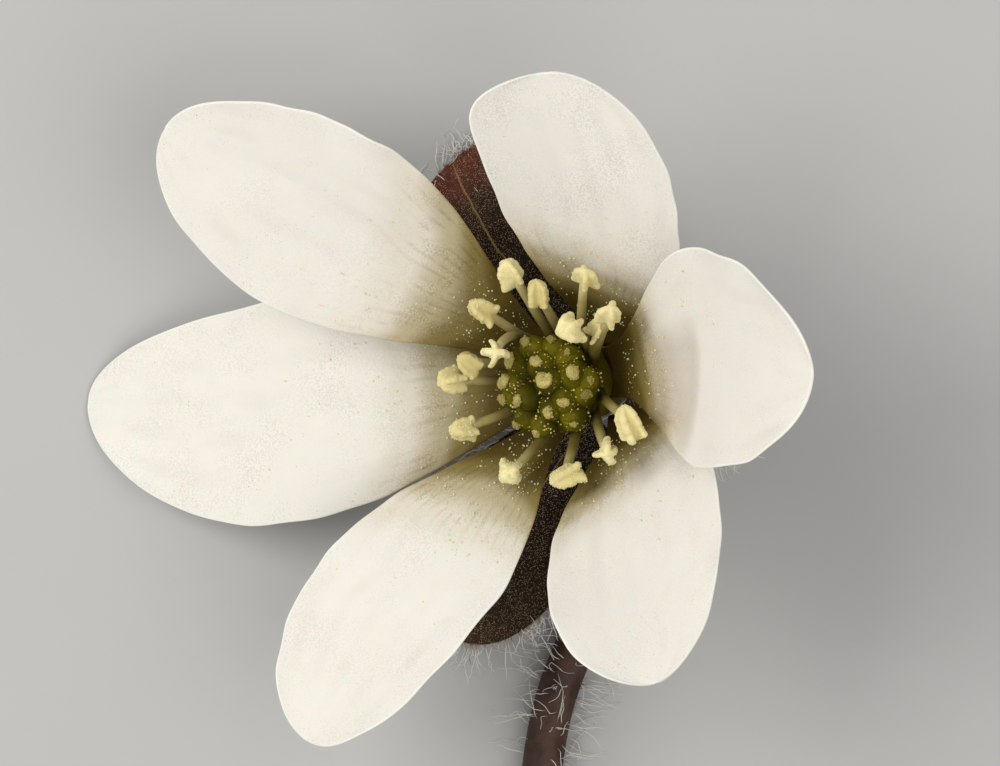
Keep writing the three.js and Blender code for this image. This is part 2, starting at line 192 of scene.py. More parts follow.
def pointing(heading, rise):
    """The unit vector with a heading from +X and a rise, both in degrees."""
    h, r = math.radians(heading), math.radians(rise)
    return np.array([math.cos(h) * math.cos(r), math.sin(h) * math.cos(r), math.sin(r)])


def around(azimuth, radius, height):
    """A point of the bloom's frame, from an azimuth in degrees, a radius and a height."""
    angle = np.radians(azimuth)
    return np.stack(np.broadcast_arrays(radius * np.cos(angle), radius * np.sin(angle), height), axis=-1)


heading = math.radians(LEAN_HEADING)
BLOOM_TURN = rotation((-math.sin(heading), math.cos(heading), 0.0), math.radians(LEAN_ANGLE))


def in_row_frame(points):
    """Points of the bloom's frame as points of the row frame, still in millimetres."""
    return np.asarray(points) @ BLOOM_TURN.T + BLOOM_BASE


def laid_on_surface(points):
    """As in_row_frame, with what would reach the surface bent up to lie on it."""
    points = in_row_frame(points)
    height = points[..., 2]
    low = FLOOR_EASE * np.exp((height - FLOOR_EASE) / FLOOR_EASE)
    points[..., 2] = np.where(height < FLOOR_EASE, low, height)
    return points


def across_from(directions):
    """Two unit vectors square to each direction and to each other."""
    helper = np.where(np.abs(directions[..., 2:3]) < 0.9, UP, [1.0, 0.0, 0.0])
    first = unit(np.cross(helper, directions))
    return first, np.cross(directions, first)


# ---- meshes


def add_object(name, data):
    made = bpy.data.objects.new(name, data)
    bpy.context.scene.collection.objects.link(made)
    return made


def add_piece(name, points, faces, fields, skin, replaced=None):
    """One shown object from points in the row frame (mm), with fields of numbers kept on its points."""
    mesh = bpy.data.meshes.new(name)
    mesh.from_pydata((points * MM).tolist(), [], faces)
    mesh.polygons.foreach_set("use_smooth", [True] * len(mesh.polygons))
    for field, values in fields.items():
        attribute = mesh.attributes.new(field, "FLOAT", "POINT")
        attribute.data.foreach_set("value", np.asarray(values, np.float32))
    mesh.materials.append(skin)
    mesh.validate()
    piece = add_object(name, mesh)
    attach(piece, "root")
    if replaced:
        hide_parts(replaced)


class Body:
    """Points, faces and fields gathered from many small closed shapes."""

    def __init__(self):
        self.points = []
        self.faces = []
        self.fields = {}
        self.size = 0

    def add(self, points, faces, **fields):
        self.points.append(points)
        self.faces.extend((np.asarray(face) + self.size).tolist() for face in faces)
        for name, values in fields.items():
            self.fields.setdefault(name, []).append(np.broadcast_to(values, len(points)))
        self.size += len(points)

    def piece(self, name, skin, slot, replaced=None):
        fields = {field: np.concatenate(parts) for field, parts in self.fields.items()}
        add_piece(name, np.concatenate(self.points), self.faces, fields, skin, replaced)


def ring_faces(rings, sides):
    """The faces of a round body whose points are its rings' and then one at each end."""
    faces = []
    for ring in range(rings - 1):
        for side in range(sides):
            a = ring * sides + side
            b = ring * sides + (side + 1) % sides
            faces.append((a, b, b + sides, a + sides))
    first = rings * sides
    last_ring = (rings - 1) * sides
    for side in range(sides):
        following = (side + 1) % sides
        faces.append((first, following, side))
        faces.append((first + 1, last_ring + side, last_ring + following))
    return faces


def tube(path, radii, sides):
    """A closed round body along a path, with a radius for each point or for each point and side."""
    path = np.asarray(path, float)
    along = unit(np.gradient(path, axis=0))
    seam = across_from(along[:1])[0][0]
    angles = (np.arange(sides) + 0.5) / sides * TURN
    radii = np.broadcast_to(np.asarray(radii, float).reshape(len(path), -1), (len(path), sides))
    rings = []
    for point, direction, reach in zip(path, along, radii):
        seam = unit(seam - direction * (seam @ direction))
        third = np.cross(direction, seam)
        spokes = np.cos(angles)[:, None] * seam + np.sin(angles)[:, None] * third
        rings.append(point + reach[:, None] * spokes)
    return np.concatenate([*rings, path[:1], path[-1:]]), ring_faces(len(path), sides)


def ring_grid(rings, sides):
    """Each point's share along a body and angle round it, with the rings closer at the ends."""
    shares = (1 - np.cos(np.linspace(0, math.pi, rings + 2)[1:-1])) / 2
    return np.meshgrid(shares, np.arange(sides) / sides * TURN, indexing="ij")


def body_along_z(out, angle, height, length):
    """A closed body along Z, from how far out, at which angle and how high the points of its rings are."""
    points = np.stack([out * np.cos(angle), out * np.sin(angle), height], axis=-1).reshape(-1, 3)
    points = np.concatenate([points, [[0, 0, -length / 2], [0, 0, length / 2]]])
    return points, ring_faces(*out.shape)


def turned_body(length, reach, rings, sides):
    """A closed body along Z: reach(share along it, angle) is how far it stands out."""
    share, angle = ring_grid(rings, sides)
    return body_along_z(reach(share, angle), angle, (share - 0.5) * length, length)


def facing(points, direction, place, roll):
    """A body's points with its own Z turned to a direction, after a roll in degrees, and at a place."""
    direction = unit(direction)
    first, second = across_from(direction[None])
    angle = math.radians(roll)
    x = math.cos(angle) * first[0] + math.sin(angle) * second[0]
    y = np.cross(direction, x)
    return points @ np.stack([x, y, direction]) + place


def waves(values, rng, low, high):
    """A smooth random curve or surface between about -1 and 1, as a sum of sines over the values."""
    count = 5
    total = 0.0
    for _ in range(count):
        phase = rng.uniform(0, TURN)
        course = sum(rng.uniform(low, high) * rng.choice([-1, 1]) * value for value in values)
        total = total + np.sin(course + phase)
    return total / math.sqrt(count * 2)


# ---- blades


def half_width(blade, s, u):
    """Half the blade's width at s along it on the side of u, in mm."""
    widest = blade["widest"] + blade["lopside"] * np.sign(u)
    rising = np.sin(np.pi / 2 * np.clip(s / widest, 0, 1)) ** blade["taper"]
    lower = blade["neck"] + (1 - blade["neck"]) * rising
    out = np.clip((s - widest) / (1 - widest), 0, 1)
    upper = np.sqrt(np.maximum(0, 1 - out ** blade["blunt"]))
    return blade["width"] / 2 * np.where(s < widest, lower, upper)


def midline(blade, s):
    """How far out and up the blade's midline has come at s, and its rise there."""
    at_base, at_tip = np.radians(blade["rise"])

    def rise(share):
        return at_tip + (at_base - at_tip) * (1 - share) ** blade["ease"]

    steps = 600
    rises = rise((np.arange(steps) + 0.5) / steps)
    stations = np.linspace(0, 1, steps + 1)
    out = np.concatenate([[0], np.cumsum(np.cos(rises))]) * blade["length"] / steps
    height = np.concatenate([[0], np.cumsum(np.sin(rises))]) * blade["length"] / steps
    return np.interp(s, stations, out), np.interp(s, stations, height), rise(np.clip(s, 0, 1))


def blade_points(blade, s, u):
    """Points of a blade's middle surface at s along it (0 to 1) and u across it (-1 to 1), bloom's frame.

    The midline leaves the seat at azimuth + yaw and rises by rise, from base to tip, as ease says. sweep
    bends its tip sideways, bow its middle, twist turns the blade and cup lifts its edges.
    """
    out, height, rise = midline(blade, s)
    outward = around(blade["azimuth"] + blade["yaw"], 1.0, 0.0)
    sideways = np.array([-outward[1], outward[0], 0.0])
    normal = -np.sin(rise)[..., None] * outward + np.cos(rise)[..., None] * UP
    twist = (math.radians(blade["twist"]) * np.sin(np.pi / 2 * s))[..., None]
    across = np.cos(twist) * sideways + np.sin(twist) * normal
    lift = np.cos(twist) * normal - np.sin(twist) * sideways
    half = half_width(blade, s, u)
    side = blade["sweep"] * s**2 + blade["bow"] * 4 * s * (1 - s)
    return (
        around(blade["azimuth"], *blade["seat"])
        + out[..., None] * outward
        + height[..., None] * UP
        + side[..., None] * sideways
        + (half * u)[..., None] * across
        + (blade["cup"] * half * u**2)[..., None] * lift
    )


def blade_normals(blade, s, u):
    step = 0.01
    inward = np.clip(s, step, 1 - 3 * step)
    along = blade_points(blade, inward + step, u) - blade_points(blade, inward - step, u)
    side = blade_points(blade, inward, u + step) - blade_points(blade, inward, u - step)
    return unit(np.cross(along, side))


def blade_grid(rows, columns):
    """s and u of a blade's points, closer together at the tip and the margins, and the tip itself last."""
    s = np.sin(np.linspace(0, np.pi / 2, rows + 1))[:-1]
    u = np.sin(np.linspace(-np.pi / 2, np.pi / 2, columns + 1))
    s, u = np.meshgrid(s, u, indexing="ij")
    return np.append(s, 1.0), np.append(u, 0.0)


def margin_distance(blade, s, u):
    """About how far a point of the blade is from its margin, in mm."""
    to_end = np.minimum(1 - s, s + 0.01) * blade["length"]
    return np.minimum(half_width(blade, s, u) * (1 - np.abs(u)), to_end)


def blade_shell(blade, thickness, lift, rows, columns, wander=lambda s, side: 0.0):
    """A closed thin blade with rounded margins: its points (bloom's frame), faces and fields.

    lift(s, u) moves the middle surface along its normal, and wander(s, side) the margins outwards, as a
    share of the half width. The fields are s, u and the way to the margin in mm.
    """
    s, u = blade_grid(rows, columns)
    shaped_u = u * (1 + wander(s, np.sign(u)) * np.abs(u) ** 8)
    normals = blade_normals(blade, s, u)
    middle = blade_points(blade, s, shaped_u) + normals * lift(s, u)[:, None]
    margin = margin_distance(blade, s, u)
    thinned = 0.4 + 0.6 * np.clip(margin / 0.9, 0, 1) ** 0.7
    rounded = np.clip(margin / (0.35 * thickness), 0, 1)
    half = thickness / 2 * thinned * np.sqrt(1 - (1 - rounded) ** 2)
    upper, lower = middle + normals * half[:, None], middle - normals * half[:, None]

    count = rows * (columns + 1) + 1
    index = np.arange(count - 1).reshape(rows, columns + 1)
    inner = index[1:, 1:-1]
    under = index.copy()
    under[1:, 1:-1] = count + np.arange(inner.size).reshape(inner.shape)
    points = np.concatenate([upper, lower[inner.ravel()]])
    source = np.append(np.arange(count), inner)
    fields = {"along": s[source], "across": u[source], "margin": margin[source]}
    faces = []
    tip = count - 1
    for row in range(rows - 1):
        for column in range(columns):
            corners = ((row, column), (row + 1, column), (row + 1, column + 1), (row, column + 1))
            faces.append([index[c] for c in corners])
            faces.append([under[c] for c in reversed(corners)])
    for column in range(columns):
        faces.append([index[-1, column], tip, index[-1, column + 1]])
        faces.append([under[-1, column + 1], tip, under[-1, column]])
    return points, faces, fields


# ---- materials


class Skin:
    """One material's nodes, with short calls for what it needs."""

    def __init__(self, name, **constants):
        self.material = bpy.data.materials.new(name)
        self.material.use_nodes = True
        self.tree = self.material.node_tree
        self.surface = self.tree.nodes["Principled BSDF"]
        self.colour = None
        for socket, value in constants.items():
            self.surface.inputs[socket.replace("_", " ")].default_value = value

    def node(self, kind, inputs=None, **settings):
        made = self.tree.nodes.new("ShaderNode" + kind)
        for name, value in settings.items():
            setattr(made, name, value)
        for name, value in (inputs or {}).items():
            self.put(made.inputs[name], value)
        return made

    def put(self, socket, value):
        if isinstance(value, bpy.types.NodeSocket):
            self.tree.links.new(value, socket)
        else:
            socket.default_value = value

    def field(self, name):
        return self.node("Attribute", attribute_name=name).outputs["Fac"]

    def pattern(self, size, **inputs):
        """The inputs of a texture whose features are about size mm across."""
        position = self.node("TexCoord").outputs["Object"]
        return {"Vector": position, "Scale": 1 / (size * MM), **inputs}

    def noise(self, size, detail=3.0):
        inputs = self.pattern(size, Detail=detail, Roughness=0.55)
        return self.node("TexNoise", inputs).outputs["Fac"]

    def cells(self, size):
        """The way to the nearest cell's middle."""
        return self.node("TexVoronoi", self.pattern(size)).outputs["Distance"]

    def math(self, operation, a, b=0.0, clamp=False):
        made = self.node("Math", operation=operation, use_clamp=clamp)
        self.put(made.inputs[0], a)
        self.put(made.inputs[1], b)
        return made.outputs[0]

    def plus(self, a, b, clamp=False):
        return self.math("ADD", a, b, clamp)

    def times(self, product, *others):
        for other in others:
            product = self.math("MULTIPLY", product, other)
        return product

    def swing(self, value, width):
        """0 to 1 as a swing of half the width to each side of 0."""
        return self.times(self.math("SUBTRACT", value, 0.5), width)

    def above(self, value, low, high):
        """0 below low, 1 above high and a smooth step between them."""
        made = self.node("MapRange", {"Value": value, "From Min": low, "From Max": high})
        made.interpolation_type = "SMOOTHSTEP"
        return made.outputs["Result"]

    def below(self, value, low, high):
        """1 below low, 0 above high and a smooth step between them."""
        return self.math("SUBTRACT", 1.0, self.above(value, low, high), clamp=True)

    def patches(self, size, low, high, detail=3.0):
        """Soft patches about size mm across, where noise comes above low."""
        return self.above(self.noise(size, detail), low, high)

    def mix(self, share, a, b, blend="MIX"):
        made = self.node("Mix", data_type="RGBA", blend_type=blend)
        self.put(made.inputs["Factor"], share)
        colours = [socket for socket in made.inputs if socket.type == "RGBA"]
        for socket, value in zip(colours, (a, b)):
            self.put(socket, (*value, 1.0) if isinstance(value, tuple) else value)
        return next(o for o in made.outputs if o.type == "RGBA")

    def paint(self, colour, *shares, blend="MIX"):
        """Lays a colour over what is there, by the product of the shares."""
        self.colour = self.mix(self.times(*shares), self.colour, colour, blend)

    def tint(self, colour, *shares):
        """As paint, but multiplies what is there by the colour."""
        self.paint(colour, *shares, blend="MULTIPLY")

    def ramp(self, value, stops):
        """A colour that runs through (place, colour) stops."""
        made = self.node("ValToRGB", {"Fac": value})
        made.color_ramp.interpolation = "EASE"
        elements = made.color_ramp.elements
        while len(elements) < len(stops):
            elements.new(0.5)
        for element, (place, colour) in zip(elements, stops):
            element.position = place
            element.color = (*colour, 1.0)
        return made.outputs["Color"]

    def bump(self, height, distance, strength, under=None):
        inputs = {"Height": height, "Distance": distance * MM, "Strength": strength}
        if under:
            inputs["Normal"] = under
        return self.node("Bump", inputs).outputs["Normal"]

    def done(self, normal=None):
        self.put(self.surface.inputs["Base Color"], self.colour)
        if normal:
            self.put(self.surface.inputs["Normal"], normal)
        return self.material


def sepal_material():
    """White, with a brown-olive base that is partly its own colour and partly painted shade, fine pale
    papillae with painted glints, faint long veins, a few dark specks, a painted highlight along the margin
    and painted shade in the dip.
    """
    skin = Skin("sepal_tissue", Roughness=0.66, Specular_IOR_Level=0.22,
                Subsurface_Weight=0.2, Subsurface_Scale=0.3 * MM)
    across = skin.field("across")
    margin = skin.field("margin")
    broad = skin.noise(2.4, detail=2.0)
    sides = skin.times(across, across, 0.06)
    swung = skin.plus(skin.field("shade"), skin.swing(broad, 0.09))
    place = skin.math("SUBTRACT", swung, sides)
    # The dark olive-brown base of this ramp is partly the sepal's own colour and partly painted shade,
    # darkest by the head.
    skin.colour = skin.ramp(place, [
        (0.06, (0.078, 0.051, 0.004)), (0.13, (0.108, 0.073, 0.008)), (0.2, (0.225, 0.17, 0.052)),
        (0.27, (0.455, 0.395, 0.245)), (0.36, (0.7, 0.655, 0.555)), (0.47, (0.775, 0.748, 0.68)),
    ])
    inner = skin.below(place, 0.26, 0.46)
    outer = skin.above(place, 0.3, 0.5)
    skin.paint((0.84, 0.81, 0.74), skin.above(broad, 0.5, 0.75), outer, 0.35)

    strand = skin.plus(across, skin.times(skin.noise(3.0, detail=1.0), 0.35))
    soft = skin.above(skin.math("SINE", skin.times(strand, 17.0)), -0.4, 1.0)
    skin.tint((0.62, 0.59, 0.52), soft, skin.patches(2.2, 0.4, 0.75), 0.12)
    veins = skin.above(skin.math("SINE", skin.times(strand, 43.0)), 0.2, 1.0)
    skin.tint((0.55, 0.5, 0.4), veins, inner, skin.patches(0.8, 0.4, 0.65), 0.35)
    # Painted shade greys the hollow of the dip.
    skin.paint((0.5, 0.42, 0.34), skin.field("dip"), 0.5)

    # The papillae: bright dots that are painted glints, with darker grain between them, in patches set by
    # grain and near the base.
    papillae = skin.cells(0.06)
    patchy = skin.times(skin.patches(2.0, 0.35, 0.7, detail=5.0), skin.field("grain_and_glint"))
    near_base = skin.times(inner, skin.above(place, 0.12, 0.24))
    fringe = skin.times(near_base, skin.patches(0.7, 0.3, 0.75, detail=4.0))
    amount = skin.math("MAXIMUM", patchy, fringe)
    skin.tint((1.28, 1.28, 1.3), skin.below(papillae, 0.12, 0.4), amount)
    skin.tint((0.66, 0.63, 0.58), skin.above(papillae, 0.45, 0.7), amount, 0.7)
    near_margin = skin.below(margin, 0.1, 1.1)
    where = skin.plus(skin.patches(0.9, 0.52, 0.68), skin.times(near_margin, 0.5), clamp=True)
    skin.paint((0.24, 0.2, 0.15), skin.patches(0.045, 0.67, 0.72, detail=1.0), where, 0.6)
    # A painted highlight along the margin, on the sepal's outer part.
    skin.paint((0.88, 0.86, 0.8), skin.below(margin, 0.02, 0.08), outer, 0.6)
    return skin.done(skin.bump(soft, -0.008, 0.2, under=skin.bump(papillae, -0.008, 0.5)))


def bract_material():
    """Dark brown, some redder at the tip, with a tan midrib, side veins and dense fine pale speckles, a
    painted granular sheen.
    """
    skin = Skin("bract_tissue", Roughness=0.75, Specular_IOR_Level=0.12)
    along = skin.field("along")
    place = skin.plus(along, skin.swing(skin.noise(0.8, detail=4.0), 0.5))
    skin.colour = skin.ramp(place, [
        (0.2, (0.011, 0.0066, 0.0015)),
        (0.55, (0.022, 0.0125, 0.0045)),
        (1.0, (0.046, 0.028, 0.014)),
    ])
    skin.paint((0.13, 0.034, 0.021), skin.above(place, 0.72, 1.0), skin.field("red"))
    swung = skin.plus(skin.field("across"), skin.swing(skin.noise(1.2), 0.14))
    offset = skin.math("ABSOLUTE", swung)
    width = skin.plus(skin.times(along, 0.02), 0.003)
    midrib = skin.below(skin.math("DIVIDE", offset, width), 0.4, 1.2)
    skin.paint((0.32, 0.2, 0.07), midrib, 0.8)
    slant = skin.math("SUBTRACT", skin.times(along, 40.0), skin.times(offset, 19.0))
    side = skin.above(skin.math("SINE", slant), 0.86, 1.0)
    skin.paint((0.1, 0.055, 0.03), side, skin.patches(0.6, 0.42, 0.6), 0.3)
    # The pale speckles are a painted granular sheen.
    dots = skin.below(skin.cells(0.047), 0.12, 0.38)
    skin.paint((0.55, 0.4, 0.28), dots, skin.patches(0.35, 0.27, 0.5), 0.9)
    relief = skin.plus(skin.noise(0.16), skin.times(midrib, 0.8))
    return skin.done(skin.bump(relief, 0.05, 0.6))


def stem_material():
    """Purple-brown and finely streaked, paler and greener towards the bloom."""
    skin = Skin("stem_skin", Roughness=0.6, Specular_IOR_Level=0.3,
                Subsurface_Weight=0.1, Subsurface_Scale=0.3 * MM)
    tone = skin.patches(0.9, 0.3, 0.7, detail=4.0)
    skin.colour = skin.mix(tone, (0.03, 0.014, 0.0095), (0.08, 0.038, 0.026))
    turn = skin.times(skin.field("across"), 14.0)
    streak = skin.math("SINE", skin.plus(turn, skin.times(skin.noise(1.4), 5.0)))
    skin.paint((0.13, 0.068, 0.042), skin.above(streak, 0.2, 1.0), 0.35)
    skin.paint((0.085, 0.064, 0.001), skin.below(skin.field("along"), 0.03, 0.12))
    relief = skin.plus(skin.noise(0.14), skin.times(streak, 0.15))
    return skin.done(skin.bump(relief, 0.05, 0.6))


def hair_material():
    """Silvery hairs, a little browner at the root."""
    skin = Skin("hair", Roughness=0.35, Subsurface_Weight=0.1, Subsurface_Scale=0.05 * MM)
    outwards = skin.above(skin.field("along"), 0.0, 0.3)
    skin.colour = skin.mix(outwards, (0.5, 0.42, 0.33), (0.9, 0.88, 0.83))
    skin.paint((0.55, 0.48, 0.38), skin.noise(0.4), 0.15)
    return skin.done()


def carpel_material():
    """Deep olive green low down and yellower on the crowns, partly the carpels' own colour and partly
    painted shade and light, darker in the head's middle as painted shade, with fine yellowish specks.
    """
    skin = Skin("carpel_skin", Roughness=0.62, Specular_IOR_Level=0.08,
                Subsurface_Weight=0.12, Subsurface_Scale=0.25 * MM)
    # Deep low down and yellower on the crowns: partly the carpels' own colour, partly painted shade between
    # them and painted light on their tops.
    deep = skin.mix(skin.patches(0.5, 0.3, 0.7), (0.016, 0.0125, 0.0001), (0.07, 0.056, 0.0004))
    crown = skin.mix(skin.patches(0.9, 0.35, 0.65), (0.055, 0.05, 0.0003), (0.13, 0.108, 0.001))
    skin.colour = skin.mix(skin.above(skin.field("along"), 0.5, 0.95), deep, crown)
    # Painted shade in the head's middle.
    skin.paint((0.022, 0.019, 0.0002), skin.field("middle"), 0.85)
    dots = skin.below(skin.cells(0.09), 0.12, 0.34)
    skin.paint((0.4, 0.34, 0.05), dots, skin.patches(0.4, 0.48, 0.66, detail=2.0), 0.6)
    return skin.done(skin.bump(skin.noise(0.1, detail=2.0), 0.03, 0.5))


def granular_material(name, pale, deep, size):
    """Pollen-covered tissue: pale grains over a deeper ground, in soft patches."""
    skin = Skin(name, Roughness=0.72, Subsurface_Weight=0.18, Subsurface_Scale=0.15 * MM)
    grains = skin.cells(size)
    skin.colour = skin.mix(skin.times(skin.above(grains, 0.2, 0.75), 0.35), pale, deep)
    skin.paint(deep, skin.patches(size * 7, 0.42, 0.7), 0.4)
    # tone deepens a whole anther or stigma: partly its own colour, partly painted shade.
    skin.paint(deep, skin.field("tone"))
    return skin.done(skin.bump(grains, -size * 0.25, 0.5))


def filament_material():
    """Translucent, dark olive at the foot and cream towards the anther; the dark foot is partly its own
    colour and partly painted shade.
    """
    skin = Skin("filament", Roughness=0.5, Specular_IOR_Level=0.2,
                Subsurface_Weight=0.3, Subsurface_Scale=0.25 * MM)
    # Darker towards the foot: partly the filament's own colour, partly painted shade.
    skin.colour = skin.ramp(skin.field("along"), [
        (0.15, (0.055, 0.043, 0.004)),
        (0.45, (0.15, 0.118, 0.026)),
        (0.75, (0.38, 0.32, 0.125)),
        (1.0, (0.75, 0.67, 0.36)),
    ])
    skin.paint((0.2, 0.16, 0.04), skin.patches(0.2, 0.4, 0.7), 0.25)
    return skin.done(skin.bump(skin.noise(0.07), 0.02, 0.5))


def floor_material():
    """Plain pale grey with a barely seen mottle."""
    skin = Skin("floor", Roughness=0.85)
    skin.colour = skin.mix(skin.noise(6.0), (0.465, 0.462, 0.455), (0.485, 0.482, 0.475))
    return skin.done()


# ---- the flower's pieces


def grow_hairs(body, roots, directions, lengths, radius, curl, rng, droop=0.0):
    """Adds tapered three-sided hairs that curl at random, in the row frame and clear of the surface."""
    segments, sides, clearance = 6, 3, 0.03
    count = len(roots)
    path = [roots]
    course = unit(directions)
    bias = unit(rng.normal(size=(count, 3)))
    for _ in range(segments):
        step = unit(course) * (lengths / segments)[:, None]
        reached = path[-1] + step
        reached[:, 2] = np.maximum(reached[:, 2], clearance)
        path.append(reached)
        push = bias * 0.6 + rng.normal(size=(count, 3))
        course = unit(course + curl * push - droop * UP)
    path = np.stack(path, axis=1)
    along = unit(np.gradient(path, axis=1))
    first, second = across_from(along)
    taper = np.linspace(1, 0.3, segments + 1)
    angles = np.arange(sides) / sides * TURN
    spokes = np.cos(angles)[:, None] * first[:, :, None] + np.sin(angles)[:, None] * second[:, :, None]
    rings = path[:, :, None] + radius * taper[:, None, None] * spokes
    share = np.append(np.repeat(np.linspace(0, 1, segments + 1), sides), [0, 1])
    faces = ring_faces(segments + 1, sides)
    for hair in range(count):
        points = np.concatenate([rings[hair].reshape(-1, 3), path[hair, :1], path[hair, -1:]])
        body.add(points, faces, along=share)


def soft_spot(value, middle, reach):
    """1 in a band's middle, falling softly to 0 at its ends."""
    return np.clip(1.4 * (1 - ((value - middle) / reach) ** 2), 0, 1)


def build_sepal(number, blade, skin):
    rng = default_rng(100 + number)
    folds = [(rng.uniform(0.15, 0.7), rng.uniform(-0.6, 0.6), rng.uniform(0.01, 0.03)) for _ in range(4)]
    seed = rng.integers(1 << 30)

    def dip(s, u):
        return soft_spot(s, *DIP_ALONG) * soft_spot(u, *DIP_ACROSS)

    def pleat(s, u, at, middle, depth):
        ridge = np.exp(-(((u - middle * (0.6 + 0.4 * s)) / 0.09) ** 2))
        return -depth * ridge * np.exp(-(((s - at) / 0.25) ** 2))

    def lift(s, u):
        surface = default_rng(seed)
        fade = np.clip(s * 2.5, 0, 1) ** 2
        swell = 0.05 * waves((s * blade["length"], u * blade["width"] / 2), surface, 0.3, 1.0)
        ruffle = 0.07 * np.abs(u) ** 6 * waves((s * blade["length"],), surface, 1.0, 3.0)
        pleats = sum(pleat(s, u, *fold) for fold in folds)
        return (swell + ruffle + pleats) * fade - blade["dip"] * dip(s, u)

    def wander(s, side):
        edge = default_rng(seed + 1)
        left, right = (waves((s * blade["length"],), edge, 1.2, 5.0) for _ in range(2))
        return 0.011 * np.where(side > 0, left, right)

    points, faces, fields = blade_shell(blade, SEPAL_THICKNESS, lift, rows=104, columns=64, wander=wander)
    along, across = fields["along"], fields["across"]
    reach, lean = blade["shade"]
    fields["shade"] = along / (reach * (1 + lean * across))
    fields["grain_and_glint"] = np.full_like(along, blade["grain_and_glint"])
    # Where the dip's hollow is, for its painted shade; only a sepal with a dip has it.
    fields["dip"] = dip(along, across) * (blade["dip"] > 0)
    claw = 0.4 * np.exp(-along * blade["length"] / 0.5)
    points = points - claw[:, None] * around(blade["azimuth"], 1.0, 0.0)
    placed = laid_on_surface(points)
    add_piece(f"petal_{number}", placed, faces, fields, skin, f"sepal_{number}")


def build_bract(number, blade, skin, hair_skin):
    rng = default_rng(200 + number)
    seed = rng.integers(1 << 30)

    def lift(s, u):
        surface = default_rng(seed)
        rib = -0.05 * np.exp(-((u / 0.05) ** 2)) * (1 - s)
        return rib + 0.06 * waves((s * 9, u * 4), surface, 0.4, 1.6)

    points, faces, fields = blade_shell(blade, BRACT_THICKNESS, lift, rows=60, columns=44)
    fields["red"] = np.full_like(fields["along"], blade["red"])
    placed = laid_on_surface(points)
    add_piece(f"bract_{number}_blade", placed, faces, fields, skin, f"bract_{number}")

    s = np.sin(rng.uniform(0.1, np.pi / 2, BRACT_HAIRS))
    u = rng.choice([-1.0, 1.0], BRACT_HAIRS)
    inner = rng.uniform(size=BRACT_HAIRS) < 0.25
    u = np.where(inner, rng.uniform(-0.9, 0.9, BRACT_HAIRS), u)
    edge = blade_points(blade, s, u * 0.985)
    outward = unit(edge - blade_points(blade, np.clip(s - 0.12, 0, 1), u * 0.2))
    normal = blade_normals(blade, s, u)
    tilt = np.where(inner, -1.0, rng.uniform(-0.5, 0.4, BRACT_HAIRS))[:, None]
    course = outward + normal * tilt * 1.2 + rng.normal(size=(BRACT_HAIRS, 3)) * 0.3
    roots = edge - normal * np.where(inner, BRACT_THICKNESS / 2, 0.0)[:, None] * 0.9
    roots = laid_on_surface(roots)
    course = unit(course) @ BLOOM_TURN.T
    lengths = rng.uniform(*blade["hairs"], BRACT_HAIRS)
    fringe = Body()
    grow_hairs(fringe, roots, course, lengths, BRACT_HAIR_RADIUS, 0.34, rng)
    fringe.piece(f"bract_{number}_hairs", hair_skin, "bract", f"bract_{number}")


def catmull_rom(points, per_span):
    """A centripetal Catmull-Rom curve through points, as three.js draws it."""
    points = np.asarray(points, float)
    ends = np.concatenate([[2 * points[0] - points[1]], points, [2 * points[-1] - points[-2]]])
    curve = []
    for i in range(len(points) - 1):
        p0, p1, p2, p3 = ends[i : i + 4]
        d0, d1, d2 = (np.linalg.norm(b - a) ** 0.5 for a, b in ((p0, p1), (p1, p2), (p2, p3)))
        t1 = ((p1 - p0) / d0 - (p2 - p0) / (d0 + d1) + (p2 - p1) / d1) * d1
        t2 = ((p2 - p1) / d1 - (p3 - p1) / (d1 + d2) + (p3 - p2) / d2) * d1
        c2 = -3 * p1 + 3 * p2 - 2 * t1 - t2
        c3 = 2 * p1 - 2 * p2 + t1 + t2
        last = i == len(points) - 2
        for t in np.linspace(0, 1, per_span, endpoint=last):
            curve.append(p1 + t1 * t + c2 * t**2 + c3 * t**3)
    return np.array(curve)


def stem_path():
    """The stem's centreline in the row frame, from the receptacle's top to the cut end, and its radii."""
    flat_height = STEM_RADIUS * math.cos(math.pi / 8)

    def on_axis(height):
        return in_row_frame([0.0, 0.0, height])

    def on_surface(x, y):
        return np.array([BLOOM_BASE[0] + x, BLOOM_BASE[1] + y, flat_height])

    heights = [height for height, _ in RECEPTACLE]
    fine = np.linspace(heights[0], heights[-1], 30)
    neck_radii = np.interp(-fine, [-h for h in heights], [radius for _, radius in RECEPTACLE])
    lie = catmull_rom([on_surface(*offset) for offset in STEM_LIE], 36)
    start, end = on_axis(NECK_HEIGHT), lie[0]
    leaving = on_axis(NECK_HEIGHT - BEND_REACH)
    landing = end - unit(lie[1] - lie[0]) * LANDING_REACH
    t = np.linspace(0, 1, 60, endpoint=False)[:, None]
    bend = (1 - t) ** 3 * start + 3 * (1 - t) ** 2 * t * leaving
    bend = bend + 3 * (1 - t) * t**2 * landing + t**3 * end
    path = np.concatenate([[on_axis(h) for h in fine], bend, lie])
    radii = np.concatenate([neck_radii, np.full(len(bend) + len(lie), STEM_RADIUS)])
    return path, radii


